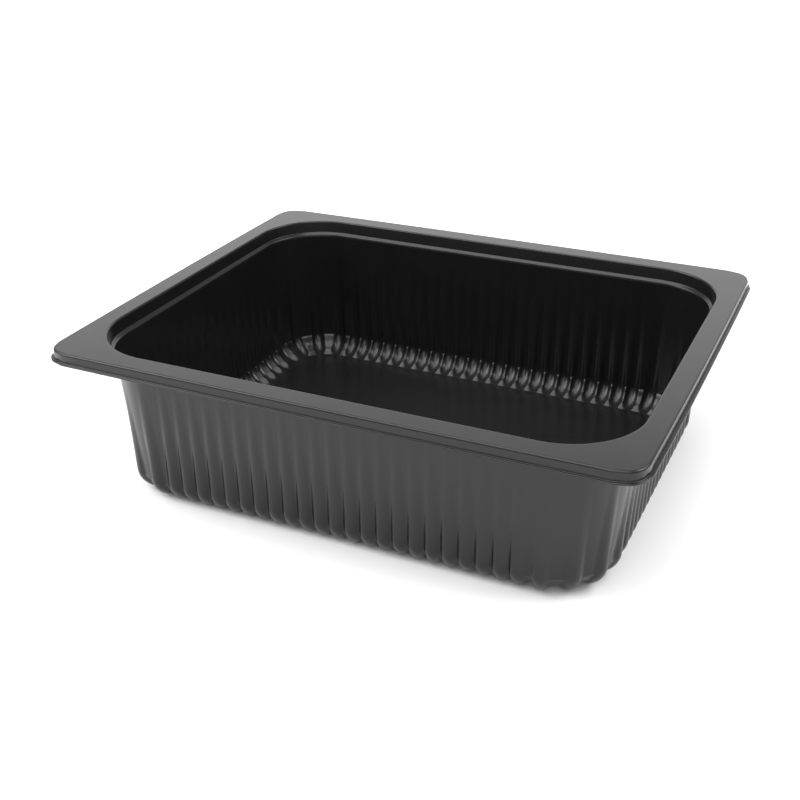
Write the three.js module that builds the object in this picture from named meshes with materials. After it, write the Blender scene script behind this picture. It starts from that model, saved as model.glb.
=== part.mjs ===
// A deep food tray formed in one piece from thin black plastic sheet.
//
// The sheet runs from the trimmed lip over the flat rim, down the neck to a small stacking step,
// and on down a fluted wall to the flat floor. Both skins of the sheet, the one on the food's side
// and the one underneath, are drawn here as rings of points round the tray, and neighbouring rings
// are joined by triangles. Millimetres, +Z up, the table at z = 0, the tray centred on the Z axis.

import * as THREE from 'three';

// ---------------------------------------------------------------------------------------------
// Driving sizes
// ---------------------------------------------------------------------------------------------

const TRAY_LENGTH = 325; // over the lip, at the middle of the short sides
const TRAY_WIDTH = 265; // over the lip, at the middle of the long sides
const TRAY_HEIGHT = 91.5; // table to rim top
const SHEET = 0.8; // thickness of the sheet

const LIP_REACH = 1.8; // the lip stands out this far past the rim's outer face
const RIM_DROP = 5.3; // rim top down to the top of the lip
const RIM_ROUND = 1.0; // rounding between rim top and outer face
const RIM_CORNER = 13; // plan radius of the outer face at the corners
const RIM_BOW = 0.8; // each side of the rim stands out this much at its middle

const OPENING_LENGTH = 299.3; // flat rim's inner edge, where the neck's rounding begins
const OPENING_WIDTH = 236.8;
const OPENING_CORNER = 41.6; // plan radius of that edge at the corners

const STEP_DEPTH = 7.6; // rim top down to the middle of the stacking step
const STEP_INSET = 3.3; // opening edge in to the middle of the step
const STEP_RUN = 2.2; // the step's width, and nearly its height

const FOOT_INSET = 20; // opening edge in to the ring where the wall meets the floor
const WALL_FOOT_Z = 11.3; // height at which the wall ends, in a small ledge
const WALL_FOOT_INSET = 9; // opening edge in to the wall at that height
const LAND_BEND = 10.4; // radius at which the land between two flutes bends in to the floor
const LAND_BEND_Z = 13.5; // height of that bend's centre
const CUT_START = 0.2; // the cut through ledge and end slope meets the floor this far out
const END_INSET = 2; // the foot of each short wall lies this much further in again

const FLUTE_RADIUS = 5;
const FLUTE_DEPTH_AT_FOOT = 2.4; // how far a flute stands out of the wall just above its end
const FLUTE_DEPTH_AT_STEP = 0.1;
const FLUTE_GROWTH = 1.7; // a flute's depth grows with this power of the drop from the step
const LONG_SIDE_FLUTES = 23;
const LONG_SIDE_PITCH = 9.02;
const SHORT_SIDE_FLUTES = 15;
const SHORT_SIDE_PITCH = 9.1;
const CORNER_FLUTES = 4; // wider apart, spread evenly round each corner

// ---------------------------------------------------------------------------------------------
// The path that every ring follows
// ---------------------------------------------------------------------------------------------

// The wall is swept round a plain rectangle, the spine. "Reach" is the distance out from it, so a
// ring of reach r is that rectangle grown by r, with corner radius r.
const SPINE_X = OPENING_LENGTH / 2 - OPENING_CORNER;
const SPINE_Y = OPENING_WIDTH / 2 - OPENING_CORNER;
const QUARTER_TURN = Math.PI / 2;

// Places along the path are lengths measured at this reach, about where the flutes' lower ends lie.
const PATH_REACH = 26;
const CORNER_PATH = PATH_REACH * QUARTER_TURN;

// The four straight stretches in order, anticlockwise from above, each followed by a corner. The
// corner that follows a stretch turns about the stretch's far end.
const LONG_SIDE = { length: 2 * SPINE_X, flutes: LONG_SIDE_FLUTES, pitch: LONG_SIDE_PITCH };
const SHORT_SIDE = { length: 2 * SPINE_Y, flutes: SHORT_SIDE_FLUTES, pitch: SHORT_SIDE_PITCH };
const STRETCHES = [
  { ...LONG_SIDE, from: [-SPINE_X, -SPINE_Y], heading: 0 },
  { ...SHORT_SIDE, from: [SPINE_X, -SPINE_Y], heading: QUARTER_TURN },
  { ...LONG_SIDE, from: [SPINE_X, SPINE_Y], heading: 2 * QUARTER_TURN },
  { ...SHORT_SIDE, from: [-SPINE_X, SPINE_Y], heading: 3 * QUARTER_TURN },
];

let pathLength = 0;
for (const stretch of STRETCHES) {
  stretch.start = pathLength;
  pathLength += stretch.length + CORNER_PATH;
}

// A station is a place along the path: its point on the spine and the outward direction there.
function station(place) {
  const at = THREE.MathUtils.euclideanModulo(place, pathLength);
  let stretch = STRETCHES[0];
  for (const candidate of STRETCHES) {
    if (candidate.start <= at) {
      stretch = candidate;
    }
  }
  const along = Math.min(at - stretch.start, stretch.length);
  const turned = Math.max(at - stretch.start - stretch.length, 0) / PATH_REACH;
  const outward = stretch.heading - QUARTER_TURN + turned;
  const x = stretch.from[0] + along * Math.cos(stretch.heading);
  return {
    place: at,
    x,
    y: stretch.from[1] + along * Math.sin(stretch.heading),
    outX: Math.cos(outward),
    outY: Math.sin(outward),
    endShare: endShare(x),
  };
}

// The short walls lean in more than the long ones. They and the corners move in along X, further
// lower down, and only the stretch between a long side's last flute and the corner gets shorter.
// The share is 0 at that flute and 1 from the corner on, with the sign of the end it belongs to.
const LAST_FLUTE_X = ((LONG_SIDE_FLUTES - 1) / 2) * LONG_SIDE_PITCH;

function endShare(x) {
  const share = (Math.abs(x) - LAST_FLUTE_X) / (SPINE_X - LAST_FLUTE_X);
  return Math.sign(x) * THREE.MathUtils.clamp(share, 0, 1);
}

function movedIn(here, inset) {
  return { ...here, x: here.x - inset * here.endShare };
}

// The place along the path that faces a point outside the spine.
function placeFacing(x, y) {
  const baseX = THREE.MathUtils.clamp(x, -SPINE_X, SPINE_X);
  const baseY = THREE.MathUtils.clamp(y, -SPINE_Y, SPINE_Y);
  const outward = Math.atan2(y - baseY, x - baseX);
  for (const stretch of STRETCHES) {
    const fromSide = outward - stretch.heading + QUARTER_TURN;
    const turned = THREE.MathUtils.euclideanModulo(fromSide, 2 * Math.PI);
    const isStraightOut = turned < 1e-9 || turned > 2 * Math.PI - 1e-9;
    if (isStraightOut) {
      return stretch.start + Math.hypot(baseX - stretch.from[0], baseY - stretch.from[1]);
    }
    if (turned < QUARTER_TURN - 1e-9) {
      return stretch.start + stretch.length + turned * PATH_REACH;
    }
  }
  throw new Error('a point has no place on the path');
}

// ---------------------------------------------------------------------------------------------
// Flutes: where they stand
// ---------------------------------------------------------------------------------------------

// Each side has its own even row about its middle, and the corner's flutes divide the rest evenly.
function fluteStations() {
  const flutes = [];
  STRETCHES.forEach((stretch, index) => {
    const middle = stretch.start + stretch.length / 2;
    const halfRow = ((stretch.flutes - 1) / 2) * stretch.pitch;
    for (let k = 0; k < stretch.flutes; k += 1) {
      flutes.push(station(middle - halfRow + k * stretch.pitch));
    }
    const next = STRETCHES[(index + 1) % STRETCHES.length];
    const nextHalfRow = ((next.flutes - 1) / 2) * next.pitch;
    const lastFlute = middle + halfRow;
    const nextFlute = stretch.start + stretch.length + CORNER_PATH + next.length / 2 - nextHalfRow;
    const gap = (nextFlute - lastFlute) / (CORNER_FLUTES + 1);
    for (let k = 1; k <= CORNER_FLUTES; k += 1) {
      flutes.push(station(lastFlute + k * gap));
    }
  });
  return flutes;
}

const FLUTES = fluteStations();

// Sideways distance from the nearest flute's centre plane, for a point at a station and a reach,
// where the ends have moved in by the inset.
function besideFlute(stationHere, reach, inset) {
  const base = movedIn(stationHere, inset);
  let nearest = Infinity;
  for (const fluteHere of FLUTES) {
    const flute = movedIn(fluteHere, inset);
    const dx = base.x + reach * base.outX - flute.x;
    const dy = base.y + reach * base.outY - flute.y;
    const ahead = dx * flute.outX + dy * flute.outY;
    if (ahead > 0) {
      nearest = Math.min(nearest, Math.abs(dx * flute.outY - dy * flute.outX));
    }
  }
  return nearest;
}

// ---------------------------------------------------------------------------------------------
// The wall and its foot, as seen in a cut through the sheet
// ---------------------------------------------------------------------------------------------

const STEP_MIDDLE_REACH = OPENING_CORNER - STEP_INSET;
const WALL_TOP_REACH = STEP_MIDDLE_REACH - STEP_RUN / 2;
const WALL_TOP_Z = TRAY_HEIGHT - STEP_DEPTH - STEP_RUN / 2;
const FOOT_REACH = OPENING_CORNER - FOOT_INSET;
const WALL_FOOT_REACH = OPENING_CORNER - WALL_FOOT_INSET;
const WALL_LEAN = (WALL_TOP_REACH - WALL_FOOT_REACH) / (WALL_TOP_Z - WALL_FOOT_Z);

// Depth counts from the food's side: 0 on that skin, SHEET on the skin underneath.
function wallReach(z, depth) {
  return WALL_TOP_REACH - (WALL_TOP_Z - z) * WALL_LEAN + depth * Math.hypot(1, WALL_LEAN);
}

// A flute is a round tube that stands further out of the wall lower down. Its lower end bends in
// about a centre BEND_Z over the foot's ring, until it lies on the floor.
const WALL_REACH_AT_TABLE = wallReach(0, SHEET);
const BEND_Z = (WALL_REACH_AT_TABLE + FLUTE_DEPTH_AT_FOOT - FOOT_REACH) / (1 - WALL_LEAN);
const AXIS_BEND = BEND_Z - FLUTE_RADIUS;

function fluteAxisReach(z) {
  const drop = THREE.MathUtils.mapLinear(z, BEND_Z, WALL_TOP_Z, 1, 0);
  const depth = THREE.MathUtils.lerp(FLUTE_DEPTH_AT_STEP, FLUTE_DEPTH_AT_FOOT, drop ** FLUTE_GROWTH);
  return wallReach(z, SHEET) + depth - FLUTE_RADIUS;
}

// How far the ends have moved in at a height: nothing at the step, and all of it at the bend.
function endInset(z) {
  return THREE.MathUtils.mapLinear(z, BEND_Z, WALL_TOP_Z, END_INSET, 0);
}

// Half the tube's width out from its axis, in a cut that passes "beside" from its centre plane.
function fluteSwell(beside, depth) {
  const radius = FLUTE_RADIUS - SHEET + depth;
  return beside < radius ? Math.sqrt(radius * radius - beside * beside) : 0;
}

// Wall and flutes at one height.
function flutedReach(stationHere, z, depth) {
  const axisReach = fluteAxisReach(z);
  const swell = fluteSwell(besideFlute(stationHere, axisReach, endInset(z)), depth);
  return swell > 0 ? Math.max(wallReach(z, depth), axisReach + swell) : wallReach(z, depth);
}

// Foot of the wall, on a ray that leaves the flute bend's centre at an angle below the horizontal.
// The land's own bend is tighter. A straight 45-degree cut leaves it a small ledge above and a short
// slope to the floor. The flute's bent end is a circle that covers the land.
const BEND_DROP = BEND_Z - LAND_BEND_Z;

function footPoint(stationHere, angle, depth) {
  const cos = Math.cos(angle);
  const sin = Math.sin(angle);
  const toWall = (wallReach(BEND_Z, depth) - FOOT_REACH) / (cos + WALL_LEAN * sin);
  const toFloor = (BEND_Z - SHEET + depth) / sin;
  const toBend = BEND_DROP * sin + Math.sqrt((LAND_BEND + depth) ** 2 - (BEND_DROP * cos) ** 2);
  const toCut = (BEND_Z - SHEET + CUT_START + depth * Math.SQRT2) / (cos + sin);
  const land = Math.min(toWall, toFloor, Math.max(toBend, toCut));
  const beside = besideFlute(stationHere, FOOT_REACH + AXIS_BEND * cos, END_INSET);
  const swell = fluteSwell(beside, depth);
  const distance = swell > 0 ? Math.max(land, AXIS_BEND + swell) : land;
  return { reach: FOOT_REACH + distance * cos, z: BEND_Z - distance * sin };
}

// ---------------------------------------------------------------------------------------------
// Rings
// ---------------------------------------------------------------------------------------------

// A ring is a list of corners with the place along the path that each one faces.
function sweptRing(stations, inset, shape) {
  return stations.map((here) => {
    const base = movedIn(here, inset);
    const { reach, z } = shape(here);
    return { place: base.place, x: base.x + reach * base.outX, y: base.y + reach * base.outY, z };
  });
}

// Stations for the plain rings, close only round the corners. A ring that is joined to a fluted one
// also has a station at every flute of the sides.
const CORNER_STEPS = 12;

function plainStations(atFlutes) {
  const stations = [];
  for (const stretch of STRETCHES) {
    const middle = stretch.start + stretch.length / 2;
    const sideSteps = atFlutes ? stretch.flutes : 1;
    stations.push(station(stretch.start));
    for (let k = 0; k < sideSteps; k += 1) {
      stations.push(station(middle + (k - (sideSteps - 1) / 2) * stretch.pitch));
    }
    for (let k = 0; k < CORNER_STEPS; k += 1) {
      stations.push(station(stretch.start + stretch.length + (k / CORNER_STEPS) * CORNER_PATH));
    }
  }
  return stations;
}

// Stations for the fluted rings: each flute's centre, its shoulders, and the land between flutes.
// Where flutes stand wide apart, the land has a station at both of its edges.
const SHOULDER = 0.6 * FLUTE_RADIUS;
const LAND_EDGE = 0.9 * FLUTE_RADIUS;

function flutedStations() {
  const stations = [];
  FLUTES.forEach((flute, index) => {
    const next = FLUTES[(index + 1) % FLUTES.length];
    const gap = THREE.MathUtils.euclideanModulo(next.place - flute.place, pathLength);
    stations.push(station(flute.place));
    stations.push(station(flute.place + SHOULDER));
    if (gap > 2.3 * LAND_EDGE) {
      stations.push(station(flute.place + LAND_EDGE));
      stations.push(station(flute.place + gap - LAND_EDGE));
    } else {
      stations.push(station(flute.place + gap / 2));
    }
    stations.push(station(flute.place + gap - SHOULDER));
  });
  return stations.sort((a, b) => a.place - b.place);
}

const PLAIN_STATIONS = plainStations(false);
const EDGE_STATIONS = plainStations(true);
const FLUTED_STATIONS = flutedStations();

// The rim's outer face: a rounded rectangle whose sides bow out, grown by "outset".
const RIM_LENGTH = TRAY_LENGTH - 2 * LIP_REACH;
const RIM_WIDTH = TRAY_WIDTH - 2 * LIP_REACH;
const RIM_CORNER_STEPS = 6;
const RIM_SIDE_STEPS = 8;

function rimRing(outset, z) {
  const halfX = RIM_LENGTH / 2 + outset;
  const halfY = RIM_WIDTH / 2 + outset;
  const radius = RIM_CORNER + outset;
  const ring = [];
  const add = (x, y) => {
    const bowedX = x * (1 - (RIM_BOW / halfX) * (y / halfY) ** 2);
    const bowedY = y * (1 - (RIM_BOW / halfY) * (x / halfX) ** 2);
    ring.push({ place: placeFacing(bowedX, bowedY), x: bowedX, y: bowedY, z });
  };
  for (let side = 0; side < 4; side += 1) {
    const turn = side * QUARTER_TURN;
    const cos = Math.round(Math.cos(turn));
    const sin = Math.round(Math.sin(turn));
    const halfAlong = side % 2 === 0 ? halfX - radius : halfY - radius;
    const halfAcross = side % 2 === 0 ? halfY : halfX;
    for (let k = 0; k < RIM_SIDE_STEPS; k += 1) {
      const along = halfAlong * ((2 * k) / RIM_SIDE_STEPS - 1);
      add(along * cos + halfAcross * sin, along * sin - halfAcross * cos);
    }
    for (let k = 0; k < RIM_CORNER_STEPS; k += 1) {
      const angle = (k / RIM_CORNER_STEPS) * QUARTER_TURN;
      const along = halfAlong + radius * Math.sin(angle);
      const across = halfAcross - radius + radius * Math.cos(angle);
      add(along * cos + across * sin, along * sin - across * cos);
    }
  }
  return ring.sort((a, b) => a.place - b.place);
}

// ---------------------------------------------------------------------------------------------
// Cuts through the rim and the neck
// ---------------------------------------------------------------------------------------------

// Both cuts start on the flat rim and run down and away from it, on the food's side of the sheet.
// Points are [distance away, height above the rim top]: the rim's are counted out from its outer
// face, and the neck's in from the opening's edge.
const ROUND_45 = RIM_ROUND * (1 - Math.SQRT1_2);
const LIP_ROUND = 0.4;

const RIM_CUT = [
  [-RIM_ROUND, 0],
  [-ROUND_45, -ROUND_45],
  [0, -RIM_ROUND],
  [0.2, LIP_ROUND - RIM_DROP],
  [0.2 + LIP_ROUND, -RIM_DROP],
  [LIP_REACH, -RIM_DROP],
];

const NECK_CUT = [
  [0, 0],
  [RIM_ROUND - ROUND_45, -ROUND_45],
  [RIM_ROUND, -RIM_ROUND],
  [STEP_INSET - STEP_RUN / 2, -STEP_DEPTH + STEP_RUN / 2],
  [STEP_INSET - STEP_RUN / 4, -STEP_DEPTH + STEP_RUN / 8],
  [STEP_INSET + STEP_RUN / 4, -STEP_DEPTH - STEP_RUN / 8],
  [STEP_INSET + STEP_RUN / 2, -STEP_DEPTH - STEP_RUN / 2],
];

// The same cut on a deeper skin: every stretch moved square to itself, and met at its corners.
function deeperCut(cut, depth, headingAfter) {
  const headings = [0];
  for (let k = 1; k < cut.length; k += 1) {
    headings.push(Math.atan2(cut[k][1] - cut[k - 1][1], cut[k][0] - cut[k - 1][0]));
  }
  headings.push(headingAfter);
  return cut.map(([away, height], k) => {
    const middle = (headings[k] + headings[k + 1]) / 2;
    const spread = depth / Math.cos((headings[k + 1] - headings[k]) / 2);
    return [away + spread * Math.sin(middle), height - spread * Math.cos(middle)];
  });
}

// ---------------------------------------------------------------------------------------------
// Triangles
// ---------------------------------------------------------------------------------------------

const positions = [];
const triangles = [];

function addRing(ring) {
  return ring.map((corner) => {
    positions.push(corner.x, corner.y, corner.z);
    return { place: corner.place, index: positions.length / 3 - 1 };
  });
}

// Joins two rings by walking round both at once, always stepping on along the one whose next edge
// has its middle first. From above, faces point up where the first ring is the outer one.
function joinRings(outer, inner, facesUp) {
  let a = 0;
  let b = 0;
  const placeOf = (ring, k) => ring[k % ring.length].place + pathLength * Math.floor(k / ring.length);
  const edgeMiddle = (ring, k) => (placeOf(ring, k) + placeOf(ring, k + 1)) / 2;
  while (a < outer.length || b < inner.length) {
    const outerHere = outer[a % outer.length].index;
    const innerHere = inner[b % inner.length].index;
    const outerIsFirst = edgeMiddle(outer, a) <= edgeMiddle(inner, b);
    let third;
    if (b >= inner.length || (a < outer.length && outerIsFirst)) {
      a += 1;
      third = outer[a % outer.length].index;
    } else {
      b += 1;
      third = inner[b % inner.length].index;
    }
    const face = [outerHere, third, innerHere];
    triangles.push(facesUp ? face : face.reverse());
  }
}

// A fan from the middle of the floor out to the ring round it.
function closeFloor(ring, z, facesUp) {
  positions.push(0, 0, z);
  const middle = positions.length / 3 - 1;
  ring.forEach((corner, k) => {
    const face = [middle, corner.index, ring[(k + 1) % ring.length].index];
    triangles.push(facesUp ? face : face.reverse());
  });
}

// ---------------------------------------------------------------------------------------------
// One skin of the sheet, from the lip in to the floor
// ---------------------------------------------------------------------------------------------

const FLUTED_HEIGHTS = [WALL_TOP_Z - 3, 50];
const FOOT_ANGLES = [14, 38, 62].map(THREE.MathUtils.degToRad);

function skin(depth, facesUp) {
  const rings = [];
  for (const [outset, height] of deeperCut(RIM_CUT, depth, 0).reverse()) {
    rings.push(rimRing(outset, TRAY_HEIGHT + height));
  }
  deeperCut(NECK_CUT, depth, Math.atan2(-1, WALL_LEAN)).forEach(([away, height], k) => {
    const stations = k === NECK_CUT.length - 1 ? EDGE_STATIONS : PLAIN_STATIONS;
    rings.push(sweptRing(stations, 0, () => ({ reach: OPENING_CORNER - away, z: TRAY_HEIGHT + height })));
  });
  for (const z of FLUTED_HEIGHTS) {
    const shape = (here) => ({ reach: flutedReach(here, z, depth), z });
    rings.push(sweptRing(FLUTED_STATIONS, endInset(z), shape));
  }
  for (const angle of FOOT_ANGLES) {
    rings.push(sweptRing(FLUTED_STATIONS, END_INSET, (here) => footPoint(here, angle, depth)));
  }
  rings.push(sweptRing(EDGE_STATIONS, END_INSET, () => ({ reach: FOOT_REACH, z: SHEET - depth })));

  const added = rings.map(addRing);
  for (let k = 1; k < added.length; k += 1) {
    joinRings(added[k - 1], added[k], facesUp);
  }
  closeFloor(added[added.length - 1], SHEET - depth, facesUp);
  return added[0];
}

const lipTop = skin(0, true);
const lipUnderside = skin(SHEET, false);
joinRings(lipUnderside, lipTop, true);

// ---------------------------------------------------------------------------------------------
// The tray
// ---------------------------------------------------------------------------------------------

const geometry = new THREE.BufferGeometry();
geometry.setAttribute('position', new THREE.Float32BufferAttribute(positions, 3));
geometry.setIndex(triangles.flat());
geometry.computeVertexNormals();

const blackPlastic = new THREE.MeshStandardMaterial({ color: 0x131314, roughness: 0.28, metalness: 0 });

const tray = new THREE.Mesh(geometry, blackPlastic);
tray.name = 'tray';

const group = new THREE.Group();
group.add(tray);

export default group;
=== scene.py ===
"""A deep food tray of thin black plastic sheet, standing empty on a pale floor.

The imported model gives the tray's size and place. Everything here is in metres, with +Z up, the floor
at z = 0 and the tray centred on the Z axis, its long sides along X.
"""

import math

import bpy
import numpy as np
from mathutils import Matrix, Vector


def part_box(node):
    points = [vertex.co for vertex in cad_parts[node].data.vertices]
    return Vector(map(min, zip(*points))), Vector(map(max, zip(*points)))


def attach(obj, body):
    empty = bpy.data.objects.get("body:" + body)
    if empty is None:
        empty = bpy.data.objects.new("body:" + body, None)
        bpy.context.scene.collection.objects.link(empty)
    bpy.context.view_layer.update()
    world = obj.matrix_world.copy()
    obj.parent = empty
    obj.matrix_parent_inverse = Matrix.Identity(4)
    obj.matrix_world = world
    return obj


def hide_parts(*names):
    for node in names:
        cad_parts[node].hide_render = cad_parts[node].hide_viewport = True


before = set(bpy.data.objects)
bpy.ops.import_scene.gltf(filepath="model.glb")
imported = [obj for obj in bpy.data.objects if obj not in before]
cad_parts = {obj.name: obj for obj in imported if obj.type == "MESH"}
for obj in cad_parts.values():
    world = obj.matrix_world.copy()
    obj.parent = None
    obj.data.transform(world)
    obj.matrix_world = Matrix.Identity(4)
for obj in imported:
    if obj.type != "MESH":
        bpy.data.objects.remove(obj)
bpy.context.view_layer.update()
mm = 0.001


# ------------------------------------------------------------------------------------------------
# The way round the tray
# ------------------------------------------------------------------------------------------------
# Every level of the tray runs round the same inner rectangle, at its own reach from it. Stations are
# the places where the sheet is worked out, set closest between the flutes, where it turns sharpest.

lip_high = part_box("tray")[1]
tray_height = lip_high[2]
sheet = 0.8 * mm

opening_length = 299.3 * mm
opening_width = 236.8 * mm
opening_corner = 41.6 * mm

spine_x = opening_length / 2 - opening_corner
spine_y = opening_width / 2 - opening_corner
path_reach = 26 * mm

side_lengths = 2 * np.array([spine_x, spine_y, spine_x, spine_y])
corner_length = path_reach * math.pi / 2
side_starts = np.concatenate(([0], np.cumsum(side_lengths + corner_length)[:-1]))
way_round = side_lengths.sum() + 4 * corner_length
side_corners = np.array([[-1, -1], [1, -1], [1, 1], [-1, 1]]) * [spine_x, spine_y]

long_side_flutes = 23
long_side_pitch = 9.02 * mm
short_side_flutes = 15
short_side_pitch = 9.1 * mm
corner_flutes = 4
last_flute_x = (long_side_flutes - 1) / 2 * long_side_pitch


def spine_and_outward(place):
    """Point on the inner rectangle and outward direction at each place along the way round.

    Along a side the point walks and the direction stays square to the side. Round a corner the
    point stays, and the direction turns by the length walked over the path's reach.
    """
    side = np.searchsorted(side_starts, place, side="right") - 1
    walked = place - side_starts[side]
    along = np.minimum(walked, side_lengths[side])
    turned = np.maximum(walked - side_lengths[side], 0) / path_reach
    heading = side * math.pi / 2
    spine = side_corners[side] + along[:, None] * np.stack([np.cos(heading), np.sin(heading)], 1)
    outward = heading - math.pi / 2 + turned
    return spine, np.stack([np.cos(outward), np.sin(outward)], 1)


def flute_centre_places():
    """Places of the flutes: an even row about the middle of each side, then the corner's flutes,
    which divide the way from the last of that row to the first of the next row evenly."""
    counts = [long_side_flutes, short_side_flutes] * 2
    pitches = [long_side_pitch, short_side_pitch] * 2
    rows = []
    for start, length, count, pitch in zip(side_starts, side_lengths, counts, pitches):
        rows.append(start + length / 2 + (np.arange(count) - (count - 1) / 2) * pitch)
    places = []
    for row, next_first in zip(rows, [rows[1][0], rows[2][0], rows[3][0], rows[0][0] + way_round]):
        places.append(row)
        places.append(np.linspace(row[-1], next_first, corner_flutes + 2)[1:-1])
    return np.concatenate(places)


flute_places = flute_centre_places()
flute_gaps = np.diff(np.append(flute_places, flute_places[0] + way_round))

# Steps from a flute's centre to the middle of the land beside it. A wide land has more of them.
near_steps = np.array([0, 1.5, 2.7, 3.5, 4.1]) * mm
wide_steps = np.array([4.6, 5.3]) * mm
wide_gap = 11 * mm

station_places = []
for flute_place, gap in zip(flute_places, flute_gaps):
    steps = np.concatenate([near_steps, wide_steps]) if gap > wide_gap else near_steps
    station_places.append(flute_place + steps)
    station_places.append([flute_place + gap / 2])
    station_places.append(flute_place + gap - steps[:0:-1])
station_places = np.sort(np.concatenate(station_places) % way_round)
station_spine, station_out = spine_and_outward(station_places)
flute_spine, flute_out = spine_and_outward(flute_places % way_round)


def moved_in(spine, inset):
    """Points of the inner rectangle with its ends moved in by the inset. A point moves by all of it
    from the corner on, and by less, in a straight line, back to a long side's last flute."""
    share = (np.abs(spine[:, 0]) - last_flute_x) / (spine_x - last_flute_x)
    return spine - inset * np.column_stack([np.sign(spine[:, 0]) * np.clip(share, 0, 1), 0 * share])


def ring_at(reach, z, inset=0):
    """Points of a ring: each station's point on the inner rectangle, moved out by the reach."""
    reach = np.broadcast_to(reach, len(station_places))
    flat = moved_in(station_spine, inset) + reach[:, None] * station_out
    return np.column_stack([flat, np.broadcast_to(z, len(flat))])


# ------------------------------------------------------------------------------------------------
# Rim, neck and stacking step
# ------------------------------------------------------------------------------------------------
# The plastic sheet is clamped all round while it is formed, and trimmed outside the clamp, which
# leaves a flat rim with a short skirt and a narrow lip. Inside the rim the sheet drops down a neck
# to a narrow step, where the trays in a stack rest on each other.

rim_round = 1.1 * mm
rim_drop = 5.3 * mm
lip_reach = 1.8 * mm
skirt_lean = 0.25 * mm
rim_corner = 13 * mm
rim_bow = 0.8 * mm
lip_round = 0.5 * mm
rim_half = np.array([lip_high[0], lip_high[1]]) - lip_reach

neck_round = 1.0 * mm
neck_foot = (2.3 * mm, -7.2 * mm)
step_edge = (4.1 * mm, -8.25 * mm)
step_round = 0.4 * mm
wall_top_inset = 4.4 * mm
wall_top_z = tray_height - 8.7 * mm
flat_edge = 0.2 * mm
flat_run = 4 * mm
steps_per_round = 6


def rounded_cut(corners):
    """Points of a cut with rounded corners, and the directions square to it, on the left of its way.

    Each corner is (along, height, radius). An arc of that radius starts at the radius times the
    tangent of half the turn before the corner, and ends as far after it. A point close to either
    end of an arc keeps the straight run past it flat.
    """
    at = np.array([corner[:2] for corner in corners])
    runs = np.diff(at, axis=0)
    lengths = np.hypot(runs[:, 0], runs[:, 1])
    headings = np.arctan2(runs[:, 1], runs[:, 0])
    radii = np.array([corner[2] for corner in corners[1:-1]])
    turns = np.diff(headings)
    trims = np.concatenate(([0], radii * np.tan(np.abs(turns) / 2), [0]))
    has_room = lengths - trims[:-1] - trims[1:] > 4 * flat_edge
    points = [at[:1]]
    angles = [headings[:1]]
    for k, (radius, turn) in enumerate(zip(radii, turns)):
        angle = np.linspace(headings[k], headings[k + 1], steps_per_round)
        side = math.copysign(1, turn)
        ahead = np.array([math.cos(angle[0]), math.sin(angle[0])])
        centre = at[k + 1] - trims[k + 1] * ahead + radius * side * ahead[::-1] * [-1, 1]
        arc = centre + radius * side * np.stack([np.sin(angle), -np.cos(angle)], 1)
        if has_room[k]:
            points.append(arc[:1] - flat_edge * ahead)
            angles.append(angle[:1])
        points.append(arc)
        angles.append(angle)
        if has_room[k + 1]:
            points.append(arc[-1:] + flat_edge * np.array([math.cos(angle[-1]), math.sin(angle[-1])]))
            angles.append(angle[-1:])
    points.append(at[-1:])
    angles = np.concatenate([*angles, headings[-1:]])
    return np.concatenate(points), np.stack([-np.sin(angles), np.cos(angles)], 1)


def rim_ring(outset, z):
    """Points of the rim's outer face, grown by the outset, each on its own station's ray.

    The ray from the inner rectangle ends where it first meets an end or a side, or in the corner's
    square on the corner's arc. Each side then bows: it comes in by the bow times the square of the
    distance from its middle, over half its length.
    """
    half = rim_half + outset
    radius = rim_corner + outset
    start = np.abs(station_spine)
    out = np.abs(station_out)
    to_box = ((half - start) / np.maximum(out, 1e-9)).min(axis=1)
    centre = half - radius
    from_centre = start - centre
    towards = (from_centre * out).sum(axis=1)
    inside = towards**2 - (from_centre**2).sum(axis=1) + radius**2
    to_arc = -towards + np.sqrt(np.maximum(inside, 0))
    meets_corner = (start + to_box[:, None] * out > centre).all(axis=1)
    flat = start + np.where(meets_corner, to_arc, to_box)[:, None] * out
    bowed = flat * (1 - rim_bow / half * (flat[:, ::-1] / half[::-1]) ** 2)
    signs = np.where(station_spine + station_out > 0, 1, -1)
    return np.column_stack([bowed * signs, np.full(len(flat), z)])


rim_cut = [
    (-flat_run, 0, 0),
    (0, 0, rim_round),
    (skirt_lean, -rim_drop, lip_round),
    (lip_reach, -rim_drop, 0),
]
neck_cut = [
    (-flat_run, 0, 0),
    (neck_round, 0, neck_round),
    (*neck_foot, step_round),
    (*step_edge, step_round),
    (wall_top_inset, wall_top_z - tray_height, 0),
]


# ------------------------------------------------------------------------------------------------
# Fluted wall and its foot
# ------------------------------------------------------------------------------------------------
# The flutes stiffen the thin wall. Each is a round channel that leans less than the wall, so it
# deepens downwards, and it bends in to the floor at its lower end. The lands between them bend in
# more tightly, and one straight cut leaves them a small ledge above and a short slope to the floor.

foot_reach = opening_corner - 20 * mm
end_inset = 2 * mm
wall_foot = (opening_corner - 9 * mm, 11.3 * mm)
wall_top_reach = opening_corner - wall_top_inset
wall_lean = (wall_top_reach - wall_foot[0]) / (wall_top_z - wall_foot[1])

land_bend = 10.4 * mm
land_bend_z = 13.5 * mm
land_cut = ((21.8 * mm, 0.8 * mm), (32.8 * mm, 11.8 * mm))
land_fillet = 0.3 * mm

flute_radius = 5 * mm
flute_depth_at_foot = 2.4 * mm
flute_depth_at_step = 0.1 * mm
flute_growth = 1.7


def wall_reach(z, depth):
    """Reach of the plain wall: a straight line up to the step, moved out by the depth in the sheet."""
    return wall_top_reach - (wall_top_z - z) * wall_lean + depth * math.hypot(1, wall_lean)


bend_z = (wall_reach(0, sheet) + flute_depth_at_foot - foot_reach) / (1 - wall_lean)
axis_bend = bend_z - flute_radius


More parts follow.
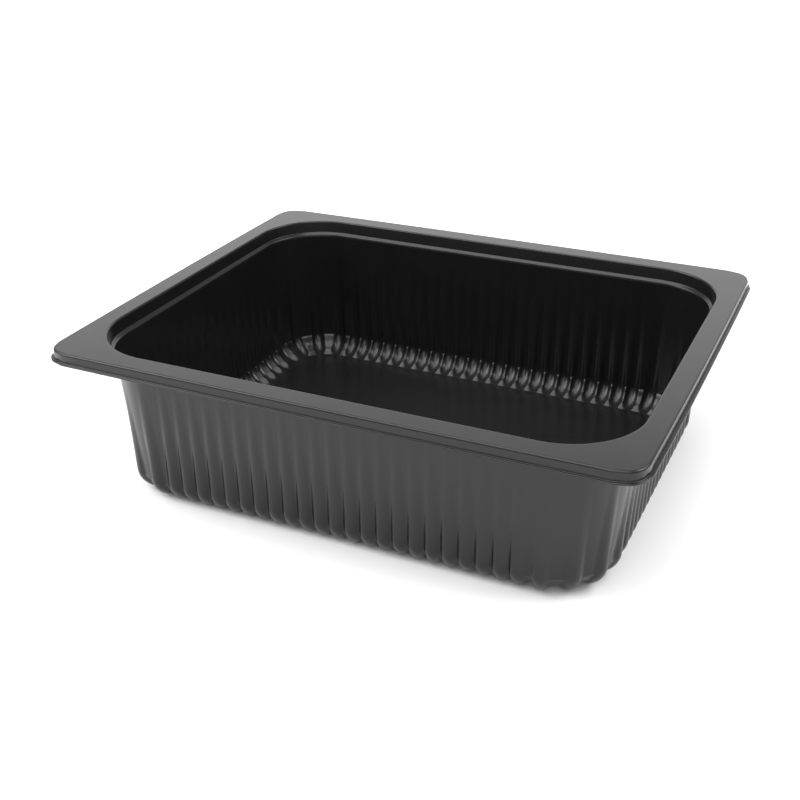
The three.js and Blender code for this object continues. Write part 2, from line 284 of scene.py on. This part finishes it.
def larger_with_fillet(a, b, fillet):
    """The larger of two values, with a fillet where they are close: it adds the square of how much
    closer than the fillet they are, over four times the fillet."""
    close = np.maximum(fillet - np.abs(a - b), 0)
    return np.maximum(a, b) + close**2 / (4 * fillet)


def flute_swell(reach, depth, inset):
    """Half the width of a flute's tube out from its axis, at each station for a given axis reach.

    By the circle's formula it is the root of the radius squared less the sideways distance squared
    from the nearest flute's centre plane, and zero past the tube.
    """
    at = moved_in(station_spine, inset) + reach * station_out
    offset = at[:, None] - moved_in(flute_spine, inset)
    ahead = (offset * flute_out).sum(axis=2)
    sideways = np.abs(offset[:, :, 0] * flute_out[:, 1] - offset[:, :, 1] * flute_out[:, 0])
    nearest = np.where(ahead > 0, sideways, 1).min(axis=1)
    radius = flute_radius - sheet + depth
    return np.sqrt(np.maximum(radius**2 - nearest**2, 0))


def wall_ring(z, depth, fillet):
    """Wall and flutes at one height: whichever reaches further, with a fillet between them.

    The drop is 0 at the step and 1 at the bend. The ends' inset grows with the drop, and the
    flutes' depth with its power.
    """
    drop = (wall_top_z - z) / (wall_top_z - bend_z)
    inset = end_inset * drop
    growth = (flute_depth_at_foot - flute_depth_at_step) * drop**flute_growth
    axis = wall_reach(z, sheet) + flute_depth_at_step + growth - flute_radius
    fluted = larger_with_fillet(wall_reach(z, depth), axis + flute_swell(axis, depth, inset), fillet)
    return ring_at(fluted, z, inset)


def distance_to_line(angle, a, b, depth):
    """Distance from the bend's centre, along a ray that dips by the angle, to the line through two
    points (reach, height), moved away from the centre by the depth."""
    run = (b[0] - a[0], b[1] - a[1])
    length = math.hypot(*run)
    away = (run[1] / length, -run[0] / length)
    gap = (a[0] - foot_reach) * away[0] + (a[1] - bend_z) * away[1] + depth
    return gap / (math.cos(angle) * away[0] - math.sin(angle) * away[1])


def foot_ring(angle, depth, fillet):
    """The foot on a ray from the bend's centre. The land is the nearest of the wall, the floor and
    the land's own body, which begins past both its bend and its straight cut. The flute is a circle
    about the ray's start that reaches further."""
    lift = (bend_z - land_bend_z) * math.sin(angle)
    across = (bend_z - land_bend_z) * math.cos(angle)
    to_bend = lift + math.sqrt((land_bend + depth) ** 2 - across**2)
    body = larger_with_fillet(to_bend, distance_to_line(angle, *land_cut, depth), land_fillet)
    wall = distance_to_line(angle, (wall_reach(0, 0), 0), (wall_reach(bend_z, 0), bend_z), depth)
    to_floor = (bend_z - sheet + depth) / math.sin(angle)
    land = min(-larger_with_fillet(-wall, -body, land_fillet), to_floor)
    swell = flute_swell(foot_reach + axis_bend * math.cos(angle), depth, end_inset)
    distance = np.minimum(larger_with_fillet(land, axis_bend + swell, fillet), to_floor)
    down = distance * math.sin(angle)
    return ring_at(foot_reach + distance * math.cos(angle), bend_z - down, end_inset)


# ------------------------------------------------------------------------------------------------
# The sheet as one closed skin
# ------------------------------------------------------------------------------------------------
# The tray is one piece of sheet. Its food side and its underside are each a row of rings from the
# lip in to the floor, and the cut edge of the lip joins the two. The plain rings keep every second
# station. A ring just inside the foot keeps the floor flat up to its edge.

wall_heights = wall_top_z - np.array([1.5, 4, 9, 17, 28, 42, 56, 64]) * mm
foot_angles = np.radians([2, 8, 11.5, 13, 15, 17, 18.5, 23, 29, 36, 43, 50, 57, 64, 70, 75, 80, 87])
side_fillets = {0: 0.35 * mm, sheet: 0.4 * mm}
floor_edge = 0.8 * mm
inner_floor_share = np.array([0.6, 0.6, 1])


def sheet_rings(depth):
    """Rings of one side of the sheet, as (points, how many stations each point stands for)."""
    rings = []
    cut, square = rounded_cut(rim_cut)
    for outset, height in (cut - depth * square)[::-1]:
        rings.append((rim_ring(outset, tray_height + height)[::2], 2))
    cut, square = rounded_cut(neck_cut)
    for inset, height in cut + depth * square * [-1, -1]:
        rings.append((ring_at(opening_corner - inset, tray_height + height)[::2], 2))
    for z in wall_heights:
        rings.append((wall_ring(z, depth, side_fillets[depth]), 1))
    for angle in foot_angles:
        rings.append((foot_ring(angle, depth, side_fillets[depth]), 1))
    for reach in (foot_reach, foot_reach - floor_edge):
        rings.append((ring_at(reach, sheet - depth, end_inset)[::2], 2))
    rings.append((rings[-1][0] * inner_floor_share, 2))
    return rings


def stretches(ring, count):
    """The ring's vertex numbers in stretches of so many edges, with the ends of each in both."""
    return np.stack([np.roll(ring, -k)[::count] for k in range(count + 1)], 1)


def joined(outer, outer_step, inner, inner_step, faces_up):
    """Faces between two rings of vertex numbers: each takes the corners of both rings that lie over
    one stretch of the coarser ring."""
    step = max(outer_step, inner_step)
    outer_edge = stretches(outer, step // outer_step)
    inner_edge = stretches(inner, step // inner_step)
    faces = np.hstack([outer_edge, inner_edge[:, ::-1]])
    return faces.tolist() if faces_up else faces[:, ::-1].tolist()


points = []
faces = []
lip_rings = []
for depth, faces_up in ((0, True), (sheet, False)):
    numbers = []
    for ring, step in sheet_rings(depth):
        first = sum(map(len, points))
        points.append(ring)
        numbers.append((first + np.arange(len(ring)), step))
    for (outer, outer_step), (inner, inner_step) in zip(numbers[:-1], numbers[1:]):
        faces += joined(outer, outer_step, inner, inner_step, faces_up)
    middle = sum(map(len, points))
    points.append(np.array([[0, 0, sheet - depth]]))
    last = numbers[-1][0]
    fan = np.stack([last, np.roll(last, -1), np.full(len(last), middle)], 1)
    faces += fan.tolist() if faces_up else fan[:, ::-1].tolist()
    lip_rings.append(numbers[0][0])
faces += joined(lip_rings[1], 2, lip_rings[0], 2, True)

tray_mesh = bpy.data.meshes.new("tray_sheet")
tray_mesh.from_pydata(np.concatenate(points).tolist(), [], faces)
tray_mesh.shade_smooth()
tray_sheet = bpy.data.objects.new("tray_sheet", tray_mesh)
bpy.context.scene.collection.objects.link(tray_sheet)


# ------------------------------------------------------------------------------------------------
# Black plastic
# ------------------------------------------------------------------------------------------------
# Polypropylene coloured through with carbon black. It comes off the mould with a soft gloss, a fine
# orange peel, and slow waves where the hot sheet cooled unevenly.

black_plastic = bpy.data.materials.new("black_plastic")
black_plastic.use_nodes = True
nodes = black_plastic.node_tree.nodes
links = black_plastic.node_tree.links
shader = nodes["Principled BSDF"]
shader.inputs["IOR"].default_value = 1.5
shader.inputs["Specular IOR Level"].default_value = 0.385

place = nodes.new("ShaderNodeTexCoord").outputs["Object"]


def noise(scale, detail):
    """A noise pattern on the piece, with so many waves a metre."""
    pattern = nodes.new("ShaderNodeTexNoise")
    pattern.inputs["Scale"].default_value = scale
    pattern.inputs["Detail"].default_value = detail
    links.new(place, pattern.inputs["Vector"])
    return pattern.outputs["Fac"]


def spread(value, low, high):
    """The value from 0 to 1 spread between two limits."""
    change = nodes.new("ShaderNodeMapRange")
    change.inputs["To Min"].default_value = low
    change.inputs["To Max"].default_value = high
    links.new(value, change.inputs["Value"])
    return change.outputs["Result"]


tint = nodes.new("ShaderNodeMix")
tint.data_type = "RGBA"
tint.inputs["A"].default_value = (0.005, 0.005, 0.0052, 1)
tint.inputs["B"].default_value = (0.008, 0.008, 0.0084, 1)
links.new(noise(60, 3), tint.inputs["Factor"])
links.new(tint.outputs["Result"], shader.inputs["Base Color"])
links.new(spread(noise(140, 4), 0.21, 0.27), shader.inputs["Roughness"])

orange_peel = nodes.new("ShaderNodeBump")
orange_peel.inputs["Distance"].default_value = 0.01 * mm
links.new(noise(1600, 2), orange_peel.inputs["Height"])
slow_waves = nodes.new("ShaderNodeBump")
slow_waves.inputs["Distance"].default_value = 0.06 * mm
links.new(noise(45, 1), slow_waves.inputs["Height"])
links.new(orange_peel.outputs["Normal"], slow_waves.inputs["Normal"])
links.new(slow_waves.outputs["Normal"], shader.inputs["Normal"])

tray_mesh.materials.append(black_plastic)
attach(tray_sheet, "root")
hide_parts("tray")


# ------------------------------------------------------------------------------------------------
# Floor
# ------------------------------------------------------------------------------------------------
# A plain pale studio floor, large enough to fill the picture from every side.

floor_half = 6.0
floor_mesh = bpy.data.meshes.new("floor")
floor_corners = floor_half * np.array([(-1, -1, 0), (1, -1, 0), (1, 1, 0), (-1, 1, 0)])
floor_mesh.from_pydata(floor_corners.tolist(), [], [(0, 1, 2, 3)])
floor = bpy.data.objects.new("floor", floor_mesh)
bpy.context.scene.collection.objects.link(floor)

pale_floor = bpy.data.materials.new("pale_floor")
pale_floor.use_nodes = True
floor_shader = pale_floor.node_tree.nodes["Principled BSDF"]
floor_shader.inputs["Base Color"].default_value = (0.92, 0.92, 0.92, 1)
floor_shader.inputs["Roughness"].default_value = 0.9
floor_mesh.materials.append(pale_floor)


# ------------------------------------------------------------------------------------------------
# Soft studio light
# ------------------------------------------------------------------------------------------------
# Soft boxes all round the tray and one overhead, in a dim white room. The two at the tray's ends are
# the brightest, and draw the light lines on its corners.

world = bpy.data.worlds.new("studio")
world.use_nodes = True
bpy.context.scene.world = world
world.node_tree.nodes["Background"].inputs["Color"].default_value = (1, 1, 1, 1)
world.node_tree.nodes["Background"].inputs["Strength"].default_value = 0.46

light_aim = Vector((0, 0, tray_height / 2))


def soft_box(name, azimuth, elevation, distance, width, height, brightness):
    """A rectangular light that faces the tray from a direction in degrees. Its power is the
    brightness of its face times pi and its area."""
    data = bpy.data.lights.new(name, "AREA")
    data.shape = "RECTANGLE"
    data.size = width
    data.size_y = height
    data.energy = brightness * math.pi * width * height
    light = bpy.data.objects.new(name, data)
    level = math.cos(math.radians(elevation))
    away = Vector(
        (
            math.cos(math.radians(azimuth)) * level,
            math.sin(math.radians(azimuth)) * level,
            math.sin(math.radians(elevation)),
        )
    )
    light.location = light_aim + distance * away
    light.rotation_euler = away.to_track_quat("Z", "Y").to_euler()
    bpy.context.scene.collection.objects.link(light)


soft_box("overhead", 225, 76, 1.55, 1.8, 1.5, 3.2)
soft_box("behind_camera", -65, 36, 1.6, 1.3, 1.1, 1.4)
soft_box("right_end", 25, 46, 1.6, 1.2, 0.9, 5.2)
soft_box("left_end", 205, 38, 1.6, 1.2, 1.0, 4.5)
soft_box("far_side", 108, 18, 2.7, 4.4, 1.4, 1.15)


# ------------------------------------------------------------------------------------------------
# Camera
# ------------------------------------------------------------------------------------------------
# The photograph was taken from the front right, about 0.7 metres away, looking down on the tray
# towards its far left corner.

camera_azimuth = math.radians(24.91)
camera_elevation = math.radians(27.2)
camera_roll = math.radians(0.55)
camera_place = Vector((0.24585, -0.55907, 0.34787))

photo_width = 800
focal_length_pixels = 1172.56

camera_data = bpy.data.cameras.new("camera")
camera_data.sensor_width = 36
camera_data.lens = camera_data.sensor_width * focal_length_pixels / photo_width
camera_data.clip_start = 0.01
camera = bpy.data.objects.new("camera", camera_data)
right = Vector((math.cos(camera_azimuth), math.sin(camera_azimuth), 0))
level_back = Vector((math.sin(camera_azimuth), -math.cos(camera_azimuth), 0))
back = level_back * math.cos(camera_elevation) + Vector((0, 0, math.sin(camera_elevation)))
turn = Matrix.Rotation(-camera_roll, 3, back)
right = turn @ right
up = back.cross(right)
camera.matrix_world = Matrix.Translation(camera_place) @ Matrix((right, up, back)).transposed().to_4x4()
bpy.context.scene.collection.objects.link(camera)
bpy.context.scene.camera = camera

bpy.context.scene.view_settings.view_transform = "Standard"
